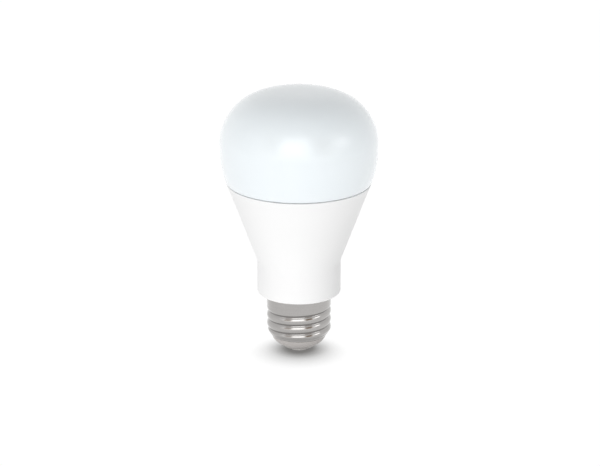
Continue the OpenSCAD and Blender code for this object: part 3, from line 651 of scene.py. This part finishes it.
class BULB_OT_cap_insulator(bpy.types.Operator):
    """Build the moulded cone between the screw shell and the centre contact"""
    bl_idname = "bulb.cap_insulator"
    bl_label = "Cap insulator"

    def execute(self, context):
        cap = context.scene.bulb_cap
        lip, lip_z = cap.lip_radius, SHELL_LOW.z
        stem, seat = 1.65 * MM, 1.5 * MM
        hole = TIP_TOP.x + 0.1 * MM
        throat = SHELL_TOP.x - cap.depth - cap.sheet - 0.35 * MM
        outline = [(stem, seat), (hole, seat), (hole, SEAL_LOW.z), (hole + 1.1 * MM, SEAL_LOW.z),
                   (7.1 * MM, 1.7 * MM), (9.9 * MM, 3.7 * MM), (10.9 * MM, 5.1 * MM),
                   (lip, lip_z - 0.05 * MM), (lip - cap.sheet - 0.1 * MM, lip_z - 0.05 * MM),
                   (throat, 7.6 * MM), (throat, SEAL_TOP.z), (3 * MM, SEAL_TOP.z), (stem, 7.4 * MM)]
        bm = bmesh.new()
        spun(bm, rounded(outline, 0.3 * MM), CONE_SEGMENTS, closed=True)
        piece = finish_mesh("insulator_cone", bm)
        dress(piece, moulded("Warm grey moulding", cap.moulding, rough=(0.4, 0.55), grain=3600.0, depth=4e-6,
                             cloud=0.9), "cap_insulator", "base_insulator")
        return {"FINISHED"}


class BULB_OT_tip_contact(bpy.types.Operator):
    """Build the turned contact at the bulb's tip"""
    bl_idname = "bulb.tip_contact"
    bl_label = "Tip contact"

    def execute(self, context):
        rim, stem, seat = TIP_TOP.x, 1.6 * MM, 1.5 * MM
        flat = 4 * MM
        outline = [(0.0, 0.0), (flat, 0.0)]
        outline += arc((flat, 0.6 * MM), 0.6 * MM, -90, -30, 6)[1:]
        outline += arc((rim - 0.2 * MM, 0.6 * MM), 0.2 * MM, -30, 0, 3)
        outline += [(rim, seat - 0.1 * MM), (rim - 0.1 * MM, seat), (stem, seat),
                    (stem, TIP_TOP.z - 0.5 * MM), (stem - 0.5 * MM, TIP_TOP.z), (0.0, TIP_TOP.z)]
        bm = bmesh.new()
        spun(bm, outline, TIP_SEGMENTS)
        piece = finish_mesh("contact_button", bm)
        dress(piece, metal("Turned nickel", (0.66, 0.64, 0.61), rough=(0.18, 0.3), lines=9000.0),
              "nickel_contact", "centre_contact")
        return {"FINISHED"}


# ---- inner pieces ----
def emitter(cases, fills, place, height):
    """One light emitter: a case with a cup in its top, and the crowned filling of the cup."""
    count, half_x, half_y = 28, 1.4 * MM, 1.75 * MM
    chamfer, rim, cup, floor = 0.07 * MM, 1.16 * MM, 1.1 * MM, height - 0.25 * MM

    def centre(bm, z):
        return level(bm, [(0.0, 0.0)], z, place) * count

    def circle(bm, radius, z):
        return level(bm, soft_square(radius, radius, count, 2.0), z, place)

    body, top = soft_square(half_x, half_y, count), soft_square(half_x - chamfer, half_y - chamfer, count)
    stitch(cases, [centre(cases, 0.0), level(cases, body, 0.0, place),
                   level(cases, body, height - chamfer, place), level(cases, top, height, place),
                   circle(cases, rim, height), circle(cases, cup, floor), centre(cases, floor)])
    slip = 0.01 * MM
    stitch(fills, [centre(fills, floor + slip), circle(fills, cup - slip, floor + slip),
                   circle(fills, rim - 3 * slip, height - 0.06 * MM),
                   circle(fills, 0.6 * rim, height - 0.035 * MM), centre(fills, height - 0.025 * MM)])


class BULB_OT_emitters(bpy.types.Operator):
    """Build the light emitters: moulded cases, each with a cup of phosphor"""
    bl_idname = "bulb.emitters"
    bl_label = "Light emitters"

    def execute(self, context):
        cases, fills = bmesh.new(), bmesh.new()
        for count, ring in ((12, 18.5 * MM), (6, 11.5 * MM)):
            for k in range(count):
                place = (Matrix.Rotation(2 * math.pi * (k + 0.5) / count, 4, "Z")
                         @ Matrix.Translation((ring, 0.0, LED_LOW.z)))
                emitter(cases, fills, place, LED_TOP.z - LED_LOW.z)
        white = moulded("Emitter case", (0.84, 0.84, 0.82), rough=(0.25, 0.35))
        dress(finish_mesh("emitter_cases", cases), white, "white_solder_mask", "led_packages")
        yellow = moulded("Phosphor", (0.80, 0.62, 0.10), rough=(0.25, 0.4), grain=9000.0)
        dress(finish_mesh("emitter_phosphor", fills), yellow, "led_phosphor", "led_packages")
        return {"FINISHED"}


def wire_turns():
    """The choke's winding: one layer of round wire in a helix along Y."""
    outer, inner, turns, count, steps = (CHOKE_TOP.x - CHOKE_LOW.x) / 2, 2 * MM, 11, 72, 8
    reach = CHOKE_TOP.y - CHOKE_LOW.y
    pitch = reach / turns
    bm = bmesh.new()

    def wire(height, turn):
        lead = height / pitch - turn
        off = min(1.0, 2 * abs(lead - round(lead)))
        return outer - pitch / 2 + pitch / 2 * math.sqrt(1 - off ** 2)

    heights = [reach * i / (turns * steps) for i in range(turns * steps + 1)]
    rings = [wavy_ring(bm, z, lambda turn: wire(z, turn), count) for z in heights]
    rings += [wavy_ring(bm, z, lambda turn: inner, count) for z in (reach, 0.0)]
    stitch(bm, rings, closed=True)
    middle = Vector(((CHOKE_LOW.x + CHOKE_TOP.x) / 2, CHOKE_LOW.y, (CHOKE_LOW.z + CHOKE_TOP.z) / 2))
    bm.transform(Matrix.Translation(middle) @ Matrix.Rotation(math.radians(-90), 4, "X"))
    return finish_mesh("choke_turns", bm)


def taped_winding():
    """The transformer's winding under its tape, whose last lap is a little narrower than the rest."""
    half, tall = (WRAP_TOP - WRAP_LOW) / 2, WRAP_TOP.z - WRAP_LOW.z
    wound, count, lap = 1.8 * MM, 64, 0.06 * MM
    side = [(5 * lap, 0.0), (1.7 * lap, 0.02), (lap, 0.05), (lap, 0.12), (0.0, 0.125)]
    side += [(inset, 1 - share) for inset, share in side[::-1]]
    bm = bmesh.new()
    place = Matrix.Translation(((WRAP_LOW.x + WRAP_TOP.x) / 2, (WRAP_LOW.y + WRAP_TOP.y) / 2, WRAP_LOW.z))
    rings = [level(bm, soft_square(half.x - inset, half.y - inset, count), tall * share, place)
             for inset, share in side + [(wound, 1.0), (wound, 0.0)]]
    stitch(bm, rings, closed=True)
    return finish_mesh("taped_winding", bm)


class BULB_OT_windings(bpy.types.Operator):
    """Build the choke's turns of wire and the transformer's taped winding"""
    bl_idname = "bulb.windings"
    bl_label = "Windings"

    def execute(self, context):
        dress(wire_turns(), metal("Enamelled copper", (0.62, 0.25, 0.10), rough=(0.15, 0.25)),
              "enamelled_wire", "noise_choke_winding")
        dress(taped_winding(), moulded("Polyester tape", (0.80, 0.52, 0.04), rough=(0.12, 0.22)),
              "winding_tape", "transformer_winding")
        return {"FINISHED"}


# ---- inner finishes ----
def inner_finishes():
    """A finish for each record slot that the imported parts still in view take."""
    return {
        "clear_sealant": moulded("Milky sealant", (0.72, 0.73, 0.72), rough=(0.25, 0.4), grain=900.0,
                                 depth=2e-5, **{"Subsurface Weight": 0.2, "Subsurface Scale": 0.001}),
        "cast_aluminium": metal("Cast aluminium", (0.76, 0.77, 0.78), rough=(0.32, 0.5), lines=2500.0),
        "sheet_aluminium": metal("Rolled aluminium", (0.80, 0.81, 0.82), rough=(0.2, 0.34)),
        "insulating_plastic": moulded("Natural plastic", (0.74, 0.74, 0.70), rough=(0.35, 0.5)),
        "thermal_rubber": moulded("Thermal sheet", (0.42, 0.50, 0.60), rough=(0.6, 0.8), grain=2500.0,
                                  depth=1e-5),
        "white_solder_mask": moulded("White solder mask", (0.86, 0.86, 0.84), rough=(0.2, 0.32),
                                     grain=2600.0),
        "zinc_screw": metal("Bright zinc", (0.74, 0.75, 0.77), rough=(0.16, 0.28)),
        "ivory_plastic": moulded("Ivory plastic", (0.80, 0.76, 0.64)),
        "thermistor_black": moulded("Thermistor", (0.05, 0.05, 0.05)),
        "green_board": moulded("Green solder mask", (0.02, 0.16, 0.07), rough=(0.18, 0.3), grain=2600.0,
                               cloud=0.8),
        "tinned_shield": metal("Tin plate", (0.74, 0.74, 0.73), rough=(0.2, 0.38)),
        "black_epoxy": moulded("Black epoxy", (0.025, 0.025, 0.028), rough=(0.45, 0.6), cloud=1.4),
        "bright_can": metal("Bright can", (0.82, 0.82, 0.82), rough=(0.08, 0.16)),
        "copper_trace": metal("Bare copper", (0.80, 0.42, 0.25), rough=(0.22, 0.34)),
        "black_header": moulded("Black header", (0.03, 0.03, 0.03)),
        "gold_pins": metal("Gold plate", (0.90, 0.68, 0.30), rough=(0.12, 0.22)),
        "resistor_coating": moulded("Resistor lacquer", (0.16, 0.30, 0.46), rough=(0.4, 0.55)),
        "varistor_coating": moulded("Dipped epoxy", (0.03, 0.10, 0.42), rough=(0.12, 0.22), grain=700.0,
                                    depth=2e-5),
        "ferrite": moulded("Ferrite", (0.045, 0.045, 0.05), rough=(0.5, 0.7), grain=6000.0, cloud=1.5),
        "can_sleeve": moulded("Shrink sleeve", (0.02, 0.03, 0.05), rough=(0.15, 0.25)),
        "film_box": moulded("Yellow box", (0.78, 0.50, 0.05), rough=(0.3, 0.45)),
        "bobbin_black": moulded("Bobbin", (0.03, 0.03, 0.03), rough=(0.35, 0.5)),
        "resistor_chip": moulded("Resistor chip", (0.03, 0.03, 0.035), rough=(0.3, 0.45)),
        "capacitor_chip": moulded("Capacitor chip", (0.50, 0.34, 0.20), rough=(0.35, 0.5)),
        "red_insulation": moulded("Red insulation", (0.50, 0.02, 0.02), rough=(0.4, 0.55)),
        "black_insulation": moulded("Black insulation", (0.02, 0.02, 0.02), rough=(0.4, 0.55)),
        "tinned_wire": metal("Tinned wire", (0.76, 0.75, 0.72), rough=(0.2, 0.34)),
    }


class BULB_OT_inner_finishes(bpy.types.Operator):
    """Give every packed inner part the finish of its record slot"""
    bl_idname = "bulb.inner_finishes"
    bl_label = "Inner finishes"

    def execute(self, context):
        finishes = inner_finishes()
        for entry in frame["record"]["subparts"]:
            part = frame["nodes"][entry["node"]]
            if entry["material_slot"] not in finishes:
                continue
            part.data.materials.clear()
            part.data.materials.append(finishes[entry["material_slot"]])
        return {"FINISHED"}


# ---- studio ----
def softbox(name, turn, rise, reach, size, power, target):
    """A rectangular light on a sphere round the target. Turn 0 is in front, and positive goes right."""
    light = bpy.data.lights.new(name, "AREA")
    light.shape = "RECTANGLE"
    light.size, light.size_y = size
    light.energy = power
    lamp = bpy.data.objects.new(name, light)
    turn, rise = math.radians(turn), math.radians(rise)
    way = Vector((math.sin(turn) * math.cos(rise), -math.cos(turn) * math.cos(rise), math.sin(rise)))
    lamp.location = target + way * reach
    lamp.rotation_mode = "QUATERNION"
    lamp.rotation_quaternion = way.to_track_quat("Z", "Y")
    lamp.visible_camera = False
    bpy.context.scene.collection.objects.link(lamp)
    return lamp


def white_table(glow):
    """A glowing white table. The camera sees it pure white, with a soft shade where something stands.
    From below it is clear, so that it never hides the cap."""
    material = bpy.data.materials.new("White table")
    material.use_nodes = True
    tree = material.node_tree
    tree.nodes.clear()
    lean = add(tree, "ShaderNodeCombineXYZ", {"Y": 0.45, "Z": 1.0})
    shade_reach, dark_middle = 0.023, -0.015
    near = add(tree, "ShaderNodeAmbientOcclusion", {
        "Distance": shade_reach, "Normal": lean.outputs[0]}, samples=16)
    path = add(tree, "ShaderNodeLightPath")
    shade = sums(tree, "MAXIMUM", ranged(tree, near.outputs["AO"], 0.2, 0.81),
                 sums(tree, "MULTIPLY", path.outputs["Is Glossy Ray"], 0.7))
    seen = mixed(tree, shade, (0.20, 0.195, 0.19, 1.0), (1.02, 1.02, 1.02, 1.0))
    place = add(tree, "ShaderNodeSeparateXYZ", {"Vector": add(tree, "ShaderNodeTexCoord").outputs["Object"]})
    aside = sums(tree, "ABSOLUTE", sums(tree, "SUBTRACT", place.outputs["X"], dark_middle))
    strip = sums(tree, "MULTIPLY", ranged(tree, aside, 0.015, 0.07), ranged(tree, aside, 0.1, 0.2, 0.6, 0.0))
    sides = sums(tree, "MULTIPLY", strip, path.outputs["Is Diffuse Ray"])
    lit = sums(tree, "MULTIPLY", sums(tree, "SUBTRACT", 1.0, sides), glow)
    strength = add(tree, "ShaderNodeMapRange", {
        "Value": path.outputs["Is Camera Ray"], "To Min": lit, "To Max": 1.0}).outputs[0]
    light = add(tree, "ShaderNodeEmission", {"Color": seen, "Strength": strength})
    under = add(tree, "ShaderNodeNewGeometry").outputs["Backfacing"]
    clear = add(tree, "ShaderNodeBsdfTransparent")
    one_way = add(tree, "ShaderNodeMixShader", {0: under, 1: light.outputs[0], 2: clear.outputs[0]})
    add(tree, "ShaderNodeOutputMaterial", {"Surface": one_way.outputs[0]})
    return material


def along(tree, way, axis):
    """How far a direction leans along an axis."""
    return add(tree, "ShaderNodeVectorMath", {0: way, 1: axis}, operation="DOT_PRODUCT").outputs["Value"]


def card(tree, way, turn, lift, wide, tall):
    """A soft-edged card in the surroundings: 1 inside, 0 outside. Sizes are half angles in degrees."""
    turn, lift = math.radians(turn), math.radians(lift)
    front = Vector((math.sin(turn) * math.cos(lift), -math.cos(turn) * math.cos(lift), math.sin(lift)))
    right = Vector((math.cos(turn), math.sin(turn), 0.0))
    inside = ranged(tree, along(tree, way, front), 0.0, 0.1)
    for axis, reach in ((right, math.radians(wide)), (front.cross(right), math.radians(tall))):
        off = sums(tree, "ABSOLUTE", along(tree, way, axis))
        edge = ranged(tree, off, math.sin(1.2 * reach), math.sin(0.8 * reach))
        inside = sums(tree, "MULTIPLY", inside, edge)
    return inside


def studio_world():
    """White all round for the camera. For light it is bright at the horizon and dim overhead, with
    dark cards to both sides. Reflections show a bright card on a wide one in front, and a warm one
    on each side of it."""
    world = bpy.data.worlds.new("Studio")
    world.use_nodes = True
    tree = world.node_tree
    tree.nodes.clear()
    way = add(tree, "ShaderNodeTexCoord").outputs["Generated"]
    rise = add(tree, "ShaderNodeSeparateXYZ", {"Vector": way}).outputs["Z"]
    path = add(tree, "ShaderNodeLightPath")
    walls = ranged(tree, along(tree, way, (0.22, -0.2, 0.955)), 0.0, 1.0, 1.17, 0.2)
    for turn, reach, dim in ((95, 48, 0.66), (-98, 42, 0.72)):
        side = card(tree, way, turn, 0, reach, reach)
        walls = sums(tree, "MULTIPLY", walls, ranged(tree, side, 0.0, 1.0, 1.0, dim))
    bright = sums(tree, "ADD", sums(tree, "MULTIPLY", card(tree, way, -6, 32, 21, 15), 1.1),
                  sums(tree, "MULTIPLY", card(tree, way, -2, 18, 56, 26), 0.9))
    mirrored = sums(tree, "ADD", ranged(tree, rise, 0.0, 1.0, 1.1, 0.9), bright)
    warm = sums(tree, "MAXIMUM", card(tree, way, 35, 24, 13, 18),
                sums(tree, "MULTIPLY", card(tree, way, -44, 24, 12, 18), 0.7))
    seen = mixed(tree, warm, (1.0, 1.0, 1.0, 1.0), (0.24, 0.19, 0.15, 1.0))
    seen = mixed(tree, path.outputs["Is Glossy Ray"], (1.0, 1.0, 1.0, 1.0), seen)
    strength = add(tree, "ShaderNodeMapRange", {
        "Value": path.outputs["Is Glossy Ray"], "To Min": walls, "To Max": mirrored}).outputs[0]
    shown = sums(tree, "MAXIMUM", strength, path.outputs["Is Camera Ray"])
    back = add(tree, "ShaderNodeBackground", {"Color": seen, "Strength": shown})
    add(tree, "ShaderNodeOutputWorld", {"Surface": back.outputs[0]})
    bpy.context.scene.world = world


class BULB_OT_studio(bpy.types.Operator):
    """Set up the camera, the softboxes and the white table"""
    bl_idname = "bulb.studio"
    bl_label = "Studio"

    def execute(self, context):
        scene, studio = context.scene, context.scene.bulb_studio
        scene.view_settings.view_transform = "Standard"
        lens = bpy.data.cameras.new("Camera")
        lens.lens = studio.lens
        camera = bpy.data.objects.new("Camera", lens)
        scene.collection.objects.link(camera)
        rise = studio.elevation
        back = Vector((0.0, -math.cos(rise), math.sin(rise)))
        camera.location = Vector((0.0, 0.0, studio.pivot)) + back * studio.distance
        aim = Vector((studio.aim_x, 0.0, studio.aim_z))
        camera.rotation_mode = "QUATERNION"
        camera.rotation_quaternion = (camera.location - aim).to_track_quat("Z", "Y")
        scene.camera = camera
        middle = Vector((0.0, 0.0, studio.pivot))
        key = softbox("Key softbox", -8, 22, 1.2, (0.56, 0.6), studio.key_power, middle)
        key.visible_glossy = False
        softbox("Side softbox", 70, 22, 1.2, (0.36, 0.3), studio.side_power, middle)
        bm = bmesh.new()
        table_r, table_z = 4.0, -0.02 * MM
        spun(bm, [(0.0, table_z), (table_r, table_z)], TABLE_SEGMENTS)
        table = finish_mesh("white_table", bm)
        if table.data.polygons[0].normal.z < 0:
            table.data.flip_normals()
        table.data.materials.append(white_table(studio.table_glow))
        studio_world()
        return {"FINISHED"}


class BULB_PT_builder(bpy.types.Panel):
    """Lists the builder's steps in the sidebar"""
    bl_idname = "BULB_PT_builder"
    bl_label = "Light Bulb"
    bl_space_type = "VIEW_3D"
    bl_region_type = "UI"
    bl_category = "Light Bulb"

    def draw(self, context):
        for operator in OPERATORS:
            self.layout.operator(operator.bl_idname)


OPERATORS = (BULB_OT_studio, BULB_OT_inner_finishes, BULB_OT_emitters, BULB_OT_windings,
             BULB_OT_frosted_dome, BULB_OT_moulded_body, BULB_OT_rolled_shell, BULB_OT_cap_insulator,
             BULB_OT_tip_contact)
SETTINGS = {"bulb_dome": DomeSettings, "bulb_body": BodySettings, "bulb_cap": CapSettings,
            "bulb_studio": StudioSettings}
CLASSES = (*SETTINGS.values(), *OPERATORS, BULB_PT_builder)


def register():
    """Registers the classes and hangs the settings on the scene."""
    for cls in CLASSES:
        bpy.utils.register_class(cls)
    for name, group in SETTINGS.items():
        setattr(bpy.types.Scene, name, bpy.props.PointerProperty(type=group))


def unregister():
    """Undoes register."""
    for name in SETTINGS:
        delattr(bpy.types.Scene, name)
    for cls in reversed(CLASSES):
        bpy.utils.unregister_class(cls)


def main():
    """Builds everything in order."""
    register()
    for operator in OPERATORS:
        section, call = operator.bl_idname.split(".")
        getattr(getattr(bpy.ops, section), call)()


if __name__ == "__main__":
    main()
